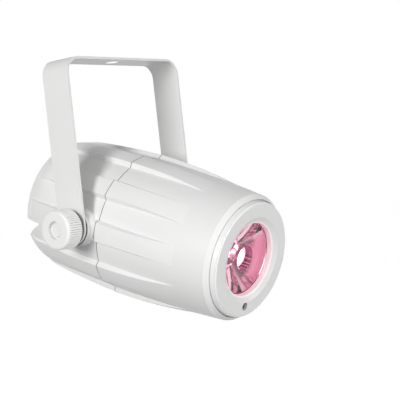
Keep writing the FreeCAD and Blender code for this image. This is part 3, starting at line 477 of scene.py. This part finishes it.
def above_or_below(tree, place, start, end):
    """A share that is full above and below the beam and nothing at its two sides."""
    turn = combine(tree, "ABSOLUTE", place["Angle"])
    off_upright = combine(tree, "ABSOLUTE", combine(tree, "SUBTRACT", turn, math.pi / 2))
    return fade(tree, off_upright, start, end)


# %% [markdown]
# The cup glows pink, with dark rays everywhere but at the light's left side, and with a
# slight mottle. One even glow would look like a painted disc, and the rays are what shows
# that the lens is deep.

# %% Pink light in the cup
holder_white = finishes["holder_white"]
ray_depth = 0.92
cup_tree = holder_white.node_tree
cup_place = beam_group(cup_tree)
cup_rays = streaks(cup_tree, cup_place, count=9.0, slide=0.12, low=0.42, high=0.54)
turn_away = combine(cup_tree, "ABSOLUTE", cup_place["Angle"])
ray_share = fade(cup_tree, turn_away, start=0.55, end=1.0)
dark_rays = combine(cup_tree, "SUBTRACT", 1.0, cup_rays)
dark_rays = combine(cup_tree, "MULTIPLY", dark_rays, ray_share)
dark_rays = combine(cup_tree, "MULTIPLY", dark_rays, ray_depth)
cup_base = combine(cup_tree, "SUBTRACT", 1.0, dark_rays)
cup_mottle = streaks(cup_tree, cup_place, count=16.0, slide=0.9, low=0.3, high=0.7)
cup_mottle = fade(cup_tree, cup_mottle, start=0.0, end=1.0, low=0.8, high=1.08)
cup_level = combine(cup_tree, "MULTIPLY", cup_base, cup_mottle)
# The cup's glow, its dark rays and its mottle are painted light and painted reflection.
glow(holder_white, colour=(0.19, 0.098, 0.13), strength=3.45, level=cup_level)
print("nodes for the cup's glow:", len(cup_tree.nodes))

# %% [markdown]
# Close round the emitter the cup burns nearly white at the two sides, a painted highlight. Above
# and below it the picture has dark, patchy reflections. They could be pieces of their own, but
# they have no thickness, so they are painted reflections in the cup's finish, dark in its glow
# and in its colour.

# %% White and dark places in the cup
emitter_white = (1.0, 0.85, 0.92)
over_led = above_or_below(cup_tree, cup_place, start=1.45, end=1.1)
hot_share = fade(cup_tree, cup_place["Out"], start=13.0, end=11.0)
hot_share = combine(cup_tree, "SUBTRACT", hot_share, over_led)
blend_glow(holder_white, emitter_white, hot_share)
near_led = fade(cup_tree, cup_place["Out"], start=22.8, end=20.4)
near_led = combine(cup_tree, "MULTIPLY", near_led, over_led)
near_spots = streaks(cup_tree, cup_place, count=12.0, slide=0.8, low=0.34, high=0.46)
dark_spots = combine(cup_tree, "MULTIPLY", near_led, near_spots)
# Painted reflection: the cup is darkened in its glow and in its colour at these spots.
blend_glow(holder_white, colour=(0.015, 0.001, 0.005), share=dark_spots)
change_tone(holder_white, tone=0.08, share=dark_spots)
print("nodes for the cup:", len(cup_tree.nodes))

# %% [markdown]
# The emitter is the brightest place. Its board glows as painted light, bright beside it and dark
# above and below. The silicone seal glows a little red, painted light from the emitter, and the
# face plate's edge at the lens takes a pink glow. A true reflection of the cup there would be
# noisy, so the plate glows a little by itself, a painted reflection, and the glow is gone two
# millimetres further out.

# %% Pink light around the cup
board_white = finishes["board_white"]
plate_white = finishes["plate_white"]
glow(finishes["led_dome"], colour=(1.0, 0.9, 0.95), strength=6.0)
board_tree = board_white.node_tree
board_dark = above_or_below(board_tree, beam_group(board_tree), start=1.0, end=0.7)
board_lit = combine(board_tree, "SUBTRACT", 1.0, board_dark)
# The board's glow, bright beside the emitter and dark above and below it, is painted light.
glow(board_white, emitter_white, strength=5.0, level=board_lit)
plate_tree = plate_white.node_tree
plate_near = fade(plate_tree, beam_group(plate_tree)["Out"], start=31.6, end=29.5)
glow(plate_white, colour=(1.0, 0.55, 0.64), strength=0.4, level=plate_near)
# The seal's red glow is painted light from the emitter.
glow(finishes["seal_silicone"], colour=(0.2, 0.03, 0.07), strength=1.0)
print("nodes for the board:", len(board_tree.nodes), "and the plate:", len(plate_tree.nodes))

# %% [markdown]
# The seam between the two shells is a narrow gap that lets little light in, so its shade is
# painted as a fine dark line. A thin dark hoop could lie in it, but it would have to follow every
# rib. A darker tone in the shells' own finish, by the distance from the seam along the beam,
# follows them by itself.

# %% Dark line in the seam
seam_station = 16.0
shell_white = finishes["shell_white"]
shell_tree = shell_white.node_tree
seam_distance = combine(shell_tree, "SUBTRACT", beam_group(shell_tree)["Along"], seam_station)
seam_distance = combine(shell_tree, "ABSOLUTE", seam_distance)
seam_shade = fade(shell_tree, seam_distance, start=0.3, end=0.24)
# Painted shade: a thin band of the shells is near black at the seam.
change_tone(shell_white, tone=0.05, share=seam_shade)
print("seam", seam_station, "mm in front of the tilt axis")

# %% [markdown]
# The grooves of the knobs are painted darker than the ridges between them, as painted shade, and
# the ridges take a painted highlight. Each groove could have a finish of its own, but then every
# groove would have to be picked out. By its distance from the tilt axis a groove is known at
# once, and it ends before the round edge at the knob's face. The knob's back stands close to the
# yoke, in its shade, so it is painted nearly black: painted shade.

# %% Tones of the knobs
knob_radius = 16.0
groove_depth = 0.7
hub_length = 2.6
knob_low, knob_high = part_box("left_knob")
knob_back = knob_low.y / mm + hub_length
knob_face = knob_high.y / mm
knob_white = finishes["knob_white"]
knob_tree = knob_white.node_tree
knob_parts = place_parts(knob_tree, pivot)
knob_out = length_of(knob_tree, knob_parts, "XZ")
knob_along = combine(knob_tree, "ABSOLUTE", knob_parts["Y"])
groove = fade(knob_tree, knob_out, start=knob_radius - 0.2, end=knob_radius - groove_depth)
groove_end = fade(knob_tree, knob_along, start=knob_face - 1.2, end=knob_face - 2.4)
side_wall = fade(knob_tree, knob_out, start=knob_radius - 1.4, end=knob_radius - 0.8)
groove = combine(knob_tree, "MULTIPLY", groove, groove_end)
groove = combine(knob_tree, "MULTIPLY", groove, side_wall)
ridge = fade(knob_tree, knob_out, start=knob_radius - 0.5, end=knob_radius - 0.15)
back = fade(knob_tree, knob_along, start=knob_back + 0.5, end=knob_back)
# Painted shade in the grooves.
change_tone(knob_white, tone=0.6, share=groove)
# Painted highlight on the ridges.
change_tone(knob_white, tone=1.08, share=ridge)
# Painted shade on the knob's back, close to the yoke.
change_tone(knob_white, tone=0.12, share=back)
print("knob back", round(knob_back, 2), "mm out, face", round(knob_face, 2), "mm out")

# %% [markdown]
# The wall of the hanging hole catches the light that comes down through the hole, and from
# below it reads as a bright slit. A small lamp over the hole could do that, but it would
# also light the bar. The wall is known by its distance from the hole's middle, which is the
# middle of the room's axes, so it gets a weak glow of its own.

# %% Light in the hanging hole
hole_radius = 5.25
bracket_paint = finishes["bracket_paint"]
hole_tree = bracket_paint.node_tree
hole_out = length_of(hole_tree, place_parts(hole_tree, (0.0, 0.0, 0.0)), "XY")
hole_wall = fade(hole_tree, hole_out, start=hole_radius + 0.15, end=hole_radius + 0.05)
glow(bracket_paint, colour=(1.0, 1.0, 0.98), strength=0.38, level=hole_wall)
print("hole", 2 * hole_radius, "mm wide")

# %% [markdown]
# Each solid takes the finish that its record names, so no solid has to be picked by hand.
# Two differ from that name: the washers are of the same rubber as a seal, and the lens's seal is
# of clear silicone. Its pink colour and its glow are painted light from the emitter.

# %% Finishes on the solids
slot_of = {row["node"]: row["material_slot"] for row in frame["record"]["subparts"]}
slot_finish = {"washer_rubber": "seal_rubber"}
node_finish = {"lens_seal": "seal_silicone"}
for name, solid in nodes.items():
    slot_name = slot_of[name]
    finish = finishes[node_finish.get(name, slot_finish.get(slot_name, slot_name))]
    solid.data.materials.clear()
    solid.data.materials.append(finish)
print("solids with a finish:", len(nodes))

# %% [markdown]
# The well in the middle of the lens has a striped wall that the light makes dark red, and
# a bright ring where its domed floor begins. They could be a tone of the clear plastic, but
# that is seen through and takes no sharp line. So both are thin rings just inside it. A
# ring is a tube with no ends, given a thickness and turned to face the beam.

# %% Wall and ring of the well
quarter = math.radians(90.0)
smooth_angle = math.radians(35.0)


def beam_ring(name, near, far, outer, thickness, sides):
    """A thin ring around the beam between two stations, as one mesh in the room's place."""
    bpy.ops.object.select_all(action="DESELECT")
    bpy.ops.mesh.primitive_cylinder_add(
        vertices=sides, radius=outer * mm, depth=(far - near) * mm,
        end_fill_type="NOTHING", rotation=(0.0, quarter, 0.0))
    ring = bpy.context.object
    ring.name = name
    bpy.ops.object.transform_apply(location=True, rotation=True, scale=True)
    ring.location = ((near + far) / 2 * mm, 0.0, 0.0)
    bpy.ops.object.transform_apply(location=True, rotation=False, scale=False)
    wall = ring.modifiers.new("wall", "SOLIDIFY")
    wall.thickness = thickness * mm
    wall.offset = -1.0
    bpy.ops.object.modifier_apply(modifier=wall.name)
    ring.data.transform(head_to_room)
    bpy.ops.object.shade_smooth_by_angle(angle=smooth_angle)
    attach(ring, "head")
    return ring


lens_face = 122.5
well_wall = beam_ring("well_wall", near=lens_face - 6.8, far=lens_face - 0.1,
                      outer=10.1, thickness=0.3, sides=96)
well_ring = beam_ring("well_ring", near=lens_face - 6.9, far=lens_face - 6.3,
                      outer=8.9, thickness=0.9, sides=96)
print("wall faces:", len(well_wall.data.polygons), "ring faces:", len(well_ring.data.polygons))

# %% [markdown]
# The wall's red glow is painted light. Its stripes could be cut as ribs, but in the picture they
# are uneven and show no relief. So they are a wave around the beam, broken up by a noise, and
# only below the beam's middle. At the light's right side the wall burns white, a painted
# highlight. The ring glows evenly, also painted light.

# %% Light on the wall and the ring
well_red = grained("well_red", (0.16, 0.03, 0.07), (0.12, 0.02, 0.05), 90, 1500, (0.15, 0.3), 0.0)
stripe_count = 19.0
stripe_middle = 0.42
stripe_gain = 1.3
plain_level = 0.36
well_tree = well_red.node_tree
well_place = beam_group(well_tree)
stripe_angle = combine(well_tree, "MULTIPLY", well_place["Angle"], stripe_count)
stripe_wave = combine(well_tree, "SINE", stripe_angle)
stripe_wave = fade(well_tree, stripe_wave, start=-0.3, end=0.5, low=0.1, high=1.0)
stripe_noise = streaks(well_tree, well_place, count=7.0, slide=0.0, low=0.4, high=0.56)
stripes = combine(well_tree, "MULTIPLY", stripe_wave, stripe_noise)
stripes = combine(well_tree, "SUBTRACT", stripes, stripe_middle)
stripe_share = fade(well_tree, well_place["Angle"], start=0.15, end=-0.1)
stripes = combine(well_tree, "MULTIPLY", stripes, stripe_share)
stripes = combine(well_tree, "MULTIPLY", stripes, stripe_gain)
well_level = combine(well_tree, "ADD", stripes, plain_level)
glow(well_red, colour=(0.25, 0.055, 0.11), strength=2.2, level=well_level)
well_turn = combine(well_tree, "ABSOLUTE", well_place["Angle"])
well_burnt = fade(well_tree, well_turn, start=1.9, end=2.5)
blend_glow(well_red, colour=(1.0, 0.8, 0.9), share=well_burnt)
well_wall.data.materials.append(well_red)
ring_light = grained("ring_light", (0.9, 0.7, 0.78), (0.85, 0.62, 0.72), 90, 1500,
                     (0.15, 0.3), 0.0)
glow(ring_light, colour=(1.0, 0.72, 0.82), strength=0.8)
well_ring.data.materials.append(ring_light)
print("nodes for the wall:", len(well_tree.nodes))

# %% [markdown]
# The dome on the well's floor gathers the emitter's light, and in the picture it is a white
# glare. Light bent by the clear plastic would make it, but only with very many rays. So a
# thin cap lies on the dome and glows, white in the middle and pink at its edge. The cap is
# cut from a ball with one bisect, so it has the dome's own curve.

# %% Glare on the dome of the well
dome_ball = 14.6
dome_radius = 14.5
dome_height = 2.4
well_depth = 7.0
dome_middle = lens_face - well_depth + dome_height - dome_radius
cap_radius = 7.2
cap_cut = math.sqrt(dome_ball ** 2 - cap_radius ** 2)
bpy.ops.object.select_all(action="DESELECT")
bpy.ops.mesh.primitive_uv_sphere_add(segments=64, ring_count=128, radius=dome_ball * mm,
                                     rotation=(0.0, quarter, 0.0))
glare = bpy.context.object
glare.name = "dome_glare"
bpy.ops.object.transform_apply(location=True, rotation=True, scale=True)
bpy.ops.object.mode_set(mode="EDIT")
bpy.ops.mesh.select_all(action="SELECT")
bpy.ops.mesh.bisect(plane_co=(cap_cut * mm, 0.0, 0.0), plane_no=(1.0, 0.0, 0.0),
                    use_fill=True, clear_inner=True)
bpy.ops.object.mode_set(mode="OBJECT")
glare.location = (dome_middle * mm, 0.0, 0.0)
bpy.ops.object.transform_apply(location=True, rotation=False, scale=False)
glare.data.transform(head_to_room)
bpy.ops.object.shade_smooth_by_angle(angle=smooth_angle)
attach(glare, "head")
glare_white = grained("glare_white", (0.9, 0.75, 0.82), (0.85, 0.7, 0.78), 90, 1500,
                      (0.15, 0.3), 0.0)
glare_tree = glare_white.node_tree
glare_level = fade(glare_tree, beam_group(glare_tree)["Out"], start=cap_radius, end=5.2,
                   low=0.12, high=1.0)
glow(glare_white, colour=(1.0, 0.8, 0.9), strength=2.2, level=glare_level)
glare.data.materials.append(glare_white)
print("glare faces:", len(glare.data.polygons))

# %% [markdown]
# The pieces of the back are small and repeat. Each could be modelled on its own, but made
# once by a helper they all sit and shine alike: a primitive at its place in the head's own
# millimetres, a bevel for its edge, and then the turn into the room.

# %% Helpers for small pieces
def seat_in_head(piece, name, bevel, finish, body="head"):
    """Bevel a fresh primitive, turn it into the room's place, and let it ride on its body."""
    piece.name = name
    bpy.ops.object.transform_apply(location=True, rotation=True, scale=True)
    if bevel > 0.0:
        edge = piece.modifiers.new("edge", "BEVEL")
        edge.width = bevel * mm
        edge.segments = 2
        edge.limit_method = "ANGLE"
        bpy.ops.object.modifier_apply(modifier=edge.name)
    piece.data.transform(head_to_room)
    bpy.ops.object.shade_smooth_by_angle(angle=smooth_angle)
    piece.data.materials.append(finish)
    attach(piece, body)


def head_rod(near, far, left, up, radius, sides):
    """A fresh rod along the beam, in the head's own millimetres."""
    bpy.ops.object.select_all(action="DESELECT")
    bpy.ops.mesh.primitive_cylinder_add(
        vertices=sides, radius=radius * mm, depth=(far - near) * mm,
        location=((near + far) / 2 * mm, left * mm, up * mm), rotation=(0.0, quarter, 0.0))
    return bpy.context.object


def head_block(near, far, left, up, width, height):
    """A fresh block, in the head's own millimetres."""
    bpy.ops.object.select_all(action="DESELECT")
    bpy.ops.mesh.primitive_cube_add(
        size=1.0, location=((near + far) / 2 * mm, left * mm, up * mm),
        scale=((far - near) * mm, width * mm, height * mm))
    return bpy.context.object


# %% [markdown]
# The contacts of the two data sockets are bare silvered metal: three pins in the input, and
# three contacts at the same places in the holes of the output. The solids already have the
# plain pins, but in the black of their sockets. A bright rod with a round tip slips over
# each pin, because the solids themselves stay as they are.

# %% Contacts of the data sockets
panel_face = -52.0
flange_thickness = 1.8
socket_mouth = panel_face - flange_thickness
contact_ring = 4.2
contact_side = 16.0
contact_level = -2.0
contact_silver = grained("contact_silver", (0.78, 0.77, 0.74), (0.66, 0.65, 0.62), 500, 4000,
                         (0.18, 0.32), 0.01, 1.0)
for number, degrees in enumerate((0.0, 180.0, 270.0), 1):
    turn = math.radians(degrees)
    left = contact_ring * math.cos(turn)
    up = contact_level + contact_ring * math.sin(turn)
    pin = head_rod(near=socket_mouth + 5.8, far=socket_mouth + 12.9,
                   left=contact_side + left, up=up, radius=1.32, sides=32)
    seat_in_head(pin, "data_pin_%d" % number, 0.7, contact_silver)
    contact = head_rod(near=socket_mouth + 0.4, far=socket_mouth + 6.0,
                       left=left - contact_side, up=up, radius=1.2, sides=32)
    seat_in_head(contact, "data_contact_%d" % number, 0.5, contact_silver)
print("pins and contacts:", 2 * number)

# %% [markdown]
# The mains inlet has three flat blades, the middle one higher for the earth. They are of
# the same metal and slip over the plain blades of the solids in the same way. A block with
# a small bevel is enough, because a blade has no round end.

# %% Blades of the mains inlet
blade_level = -32.6
blade_places = ((-7.0, 0.0), (0.0, 3.6), (7.0, 0.0))
for number, (left, rise) in enumerate(blade_places, 1):
    blade = head_block(near=socket_mouth + 6.8, far=socket_mouth + 14.9,
                       left=left, up=blade_level + rise, width=2.2, height=4.2)
    seat_in_head(blade, "mains_pin_%d" % number, 0.6, contact_silver)
print("blades:", number)

# %% [markdown]
# The display shows a number in four figures of seven bars. It could be a picture on the
# window, but real bars keep their sharp ends from near by. A bar is a flat six-sided rod,
# drawn out and laid on the window. The lit bars glow red and the unlit ones stay faintly
# visible, as on a real display.

# %% Bars of the display
window_face = -53.6
bar_reach = 4.4
bar_width = 1.0
bar_thickness = 0.12
bar_lift = 0.05
bar_gap = 0.45
figure_height = 9.4
figure_step = 8.2
display_level = 33.0
shown_number = "0001"
bars_of_figure = {"0": "abcdef", "1": "bc"}
half_width = bar_reach / 2 + bar_gap
half_height = figure_height / 4
bar_place = {
    "a": (0.0, 2 * half_height, 0.0), "g": (0.0, 0.0, 0.0), "d": (0.0, -2 * half_height, 0.0),
    "f": (half_width, half_height, 90.0), "e": (half_width, -half_height, 90.0),
    "b": (-half_width, half_height, 90.0), "c": (-half_width, -half_height, 90.0),
}


def display_bar(left, up, degrees):
    """One flat bar with pointed ends, on the window."""
    bar = head_rod(near=-bar_thickness / 2, far=bar_thickness / 2, left=0.0, up=0.0,
                   radius=0.5, sides=6)
    bpy.ops.object.transform_apply(location=True, rotation=True, scale=True)
    bar.data.transform(Matrix.Rotation(quarter, 4, "X"))
    bar.scale = (1.0, bar_reach, bar_width / math.cos(math.radians(30.0)))
    bar.rotation_euler = (math.radians(degrees), 0.0, 0.0)
    bar.location = ((window_face - bar_lift) * mm, left * mm, (display_level + up) * mm)
    bpy.ops.object.transform_apply(location=True, rotation=True, scale=True)
    return bar


lit_bars = []
unlit_bars = []
for position, figure in enumerate(shown_number):
    middle = (1.5 - position) * figure_step
    for letter, (left, up, degrees) in bar_place.items():
        bar = display_bar(middle + left, up, degrees)
        (lit_bars if letter in bars_of_figure[figure] else unlit_bars).append(bar)
print("bars lit:", len(lit_bars), "unlit:", len(unlit_bars))

# %% [markdown]
# All lit bars light up as one and are one piece, and so are the unlit ones. Left apart they
# would be 28 pieces with two finishes between them, so they are joined by their kind.

# %% Figures of the display
def join_bars(bars):
    """Several bars as one piece, which stays the active object."""
    bpy.ops.object.select_all(action="DESELECT")
    for bar in bars:
        bar.select_set(True)
    bpy.context.view_layer.objects.active = bars[0]
    bpy.ops.object.join()
    return bars[0]


bar_lit = grained("bar_lit", (0.8, 0.06, 0.03), (0.7, 0.05, 0.02), 300, 2000, (0.3, 0.4), 0.0)
glow(bar_lit, colour=(1.0, 0.05, 0.02), strength=1.6)
bar_unlit = grained("bar_unlit", (0.05, 0.012, 0.01), (0.04, 0.01, 0.008), 300, 2000,
                    (0.3, 0.4), 0.0)
seat_in_head(join_bars(lit_bars), "display_lit_bars", 0.0, bar_lit)
seat_in_head(join_bars(unlit_bars), "display_unlit_bars", 0.0, bar_unlit)
print("the display shows", shown_number)

# %% [markdown]
# Each of the four buttons has a white mark printed on its face: three bars for the list,
# an arrow down, an arrow up, and a dot to accept. The marks could be drawn in the buttons'
# finish, but the four share one. So a mark is a thin piece that rides on its own button
# and goes in with it when the button is pressed.

# %% Marks on the buttons
button_face = -53.8
button_level = 18.5
mark_proud = 0.06
mark_sunk = 0.04
mark_near = button_face - mark_proud
mark_far = button_face + mark_sunk
line_step = 1.1
mark_white = grained("mark_white", (0.8, 0.8, 0.8), (0.72, 0.72, 0.72), 400, 3000,
                     (0.4, 0.5), 0.0)
for number in range(3):
    line_level = button_level + (number - 1) * line_step
    line = head_block(mark_near, mark_far, left=-22.5, up=line_level, width=3.0, height=0.45)
    seat_in_head(line, "menu_mark_%d" % (number + 1), 0.0, mark_white,
                 "menu_button_plunger")
for name, left, wanted in (("down", -7.5, -90.0), ("up", 7.5, 90.0)):
    arrow = head_rod(mark_near, mark_far, left, button_level, radius=1.9, sides=3)
    bpy.ops.object.transform_apply(location=False, rotation=True, scale=True)
    tip = arrow.data.vertices[0].co
    arrow.rotation_euler = (math.radians(wanted) - math.atan2(tip.z, tip.y), 0.0, 0.0)
    seat_in_head(arrow, name + "_mark", 0.0, mark_white,
                 name + "_button_plunger")
dot = head_rod(mark_near, mark_far, left=22.5, up=button_level, radius=1.2, sides=40)
seat_in_head(dot, "enter_mark", 0.0, mark_white, "enter_button_plunger")

# %% [markdown]
# The rubber washers between the head and the yoke are made wider than the frame's, so that they
# stand out past the head's boss as a dark ring. That ring is partly the real rubber and partly
# painted shade, for the shade between the leg and the boss. A dark tone on the boss would be
# simpler, but it can't stand out past it. So they replace the plain washers of the frame: a tube
# with a thickness and rounded edges, a little wider than the boss.

# %% Pivot washers
# The washers are wider than the frame's plain ones; their dark ring outside the boss is partly
# painted shade.
pivot_radius = 14.5
boss_radius = 13.0
bore_radius = 4.3
washer_play = 0.1
for side_name in ("left", "right"):
    washer_low, washer_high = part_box(side_name + "_friction_washer")
    middle = (washer_low.y + washer_high.y) / 2
    thickness = washer_high.y - washer_low.y - washer_play * mm
    bpy.ops.object.select_all(action="DESELECT")
    bpy.ops.mesh.primitive_cylinder_add(
        vertices=96, radius=pivot_radius * mm, depth=thickness, end_fill_type="NOTHING",
        rotation=(quarter, 0.0, 0.0), location=(0.0, middle, 0.0))
    washer = bpy.context.object
    wall = washer.modifiers.new("wall", "SOLIDIFY")
    wall.thickness = (pivot_radius - bore_radius) * mm
    wall.offset = -1.0
    bpy.ops.object.modifier_apply(modifier=wall.name)
    seat_in_head(washer, side_name + "_pivot_washer", 0.25, finishes["seal_rubber"])
    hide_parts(side_name + "_friction_washer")
print("washers", round(pivot_radius - boss_radius, 2), "mm wider than the boss")
